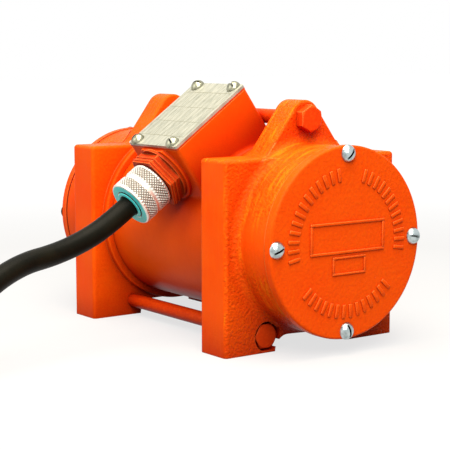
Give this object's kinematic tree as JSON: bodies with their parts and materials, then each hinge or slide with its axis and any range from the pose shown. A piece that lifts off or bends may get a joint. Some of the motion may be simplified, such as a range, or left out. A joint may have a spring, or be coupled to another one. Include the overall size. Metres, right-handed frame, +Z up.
{
  "type": "vibration motor",
  "caption": "Foot-mounted electric vibration motor: cast end housings on a round stator shell, tie bolts, tilted terminal box with corded connector, and eccentric weights inside.",
  "frame": {"origin": "centre of the four foot bolt holes, on the foot plane", "axes": "+X along the shaft to the front cover, +Y across the feet away from the cord connector, +Z up"},
  "size_m": [0.215, 0.3987, 0.1397],
  "materials": {
    "painted_casting": "glossy enamel over rough cast iron",
    "painted_shell": "glossy enamel over a smooth shell",
    "painted_steel": "glossy enamel over steel hardware",
    "gasket_sheet": "matt sheet",
    "zinc_screw": "zinc plated",
    "lid_plate": "satin sheet",
    "knurled_nut": "knurled, bright",
    "black_rubber": "satin",
    "plug_moulding": "satin moulded",
    "brass_blades": "plain",
    "bearing_steel": "polished",
    "copper_winding": "varnished",
    "cast_aluminium": "as cast",
    "core_steel": "laminated sheet",
    "black_insulation": "extruded",
    "white_insulation": "extruded",
    "green_insulation": "extruded",
    "red_insulation": "extruded",
    "splice_sleeve": "nylon sleeve",
    "machined_steel": "turned"
  },
  "bodies": {
    "frame": {"bearing_preload_washer": "bearing_steel", "cord_coil": "black_rubber", "cord_connector_body": "painted_steel", "cord_connector_bush": "black_rubber", "cord_connector_nut": "knurled_nut", "cord_inner_end": "black_rubber", "cord_plug": "plug_moulding", "cord_tail": "black_rubber", "earth_screw": "zinc_screw", "earth_terminal": "brass_blades", "front_bearing_outer_race": "bearing_steel", "front_cover": "painted_casting", "front_cover_gasket": "gasket_sheet", "front_cover_screws": "zinc_screw", "front_end_housing": "painted_casting", "lead_splices": "splice_sleeve", "motor_leads": "red_insulation", "plug_blades": "brass_blades", "rear_bearing_outer_race": "bearing_steel", "rear_cover": "painted_casting", "rear_cover_gasket": "gasket_sheet", "rear_cover_screws": "zinc_screw", "rear_end_housing": "painted_casting", "stator_core": "core_steel", "stator_shell": "painted_shell", "stator_winding": "copper_winding", "supply_cord": "black_rubber", "supply_earth_lead": "green_insulation", "supply_line_lead": "black_insulation", "supply_neutral_lead": "white_insulation", "terminal_box_gasket": "gasket_sheet", "terminal_box_lid": "lid_plate", "terminal_box_lid_screws": "zinc_screw", "tie_bolts": "painted_steel"},
    "rotor": {"front_bearing_inner_race": "bearing_steel", "front_eccentric_weight": "machined_steel", "front_weight_key": "machined_steel", "front_weight_nut": "machined_steel", "front_weight_washer": "machined_steel", "rear_bearing_inner_race": "bearing_steel", "rear_eccentric_weight": "machined_steel", "rear_weight_key": "machined_steel", "rear_weight_nut": "machined_steel", "rear_weight_washer": "machined_steel", "rotor_cage": "cast_aluminium", "rotor_core": "core_steel", "rotor_shaft": "machined_steel"},
    "front_ball_set": {"front_bearing_balls": "bearing_steel", "front_bearing_cage": "bearing_steel"},
    "rear_ball_set": {"rear_bearing_balls": "bearing_steel", "rear_bearing_cage": "bearing_steel"}
  },
  "joints": [
    {"name": "rotor_spin", "type": "hinge", "parent": "frame", "child": "rotor", "pos_m": [0, 0, 0.0582], "axis": [1, 0, 0], "continuous": true},
    {"name": "front_ball_set_orbit", "type": "hinge", "parent": "frame", "child": "front_ball_set", "pos_m": [0.0634, 0, 0.0582], "axis": [1, 0, 0], "continuous": true},
    {"name": "rear_ball_set_orbit", "type": "hinge", "parent": "frame", "child": "rear_ball_set", "pos_m": [-0.062, 0, 0.0582], "axis": [1, 0, 0], "continuous": true}
  ],
  "couplings": [
    {"joint": "front_ball_set_orbit", "follows": "rotor_spin", "ratio": 0.3816},
    {"joint": "rear_ball_set_orbit", "follows": "rotor_spin", "ratio": 0.3816}
  ]
}
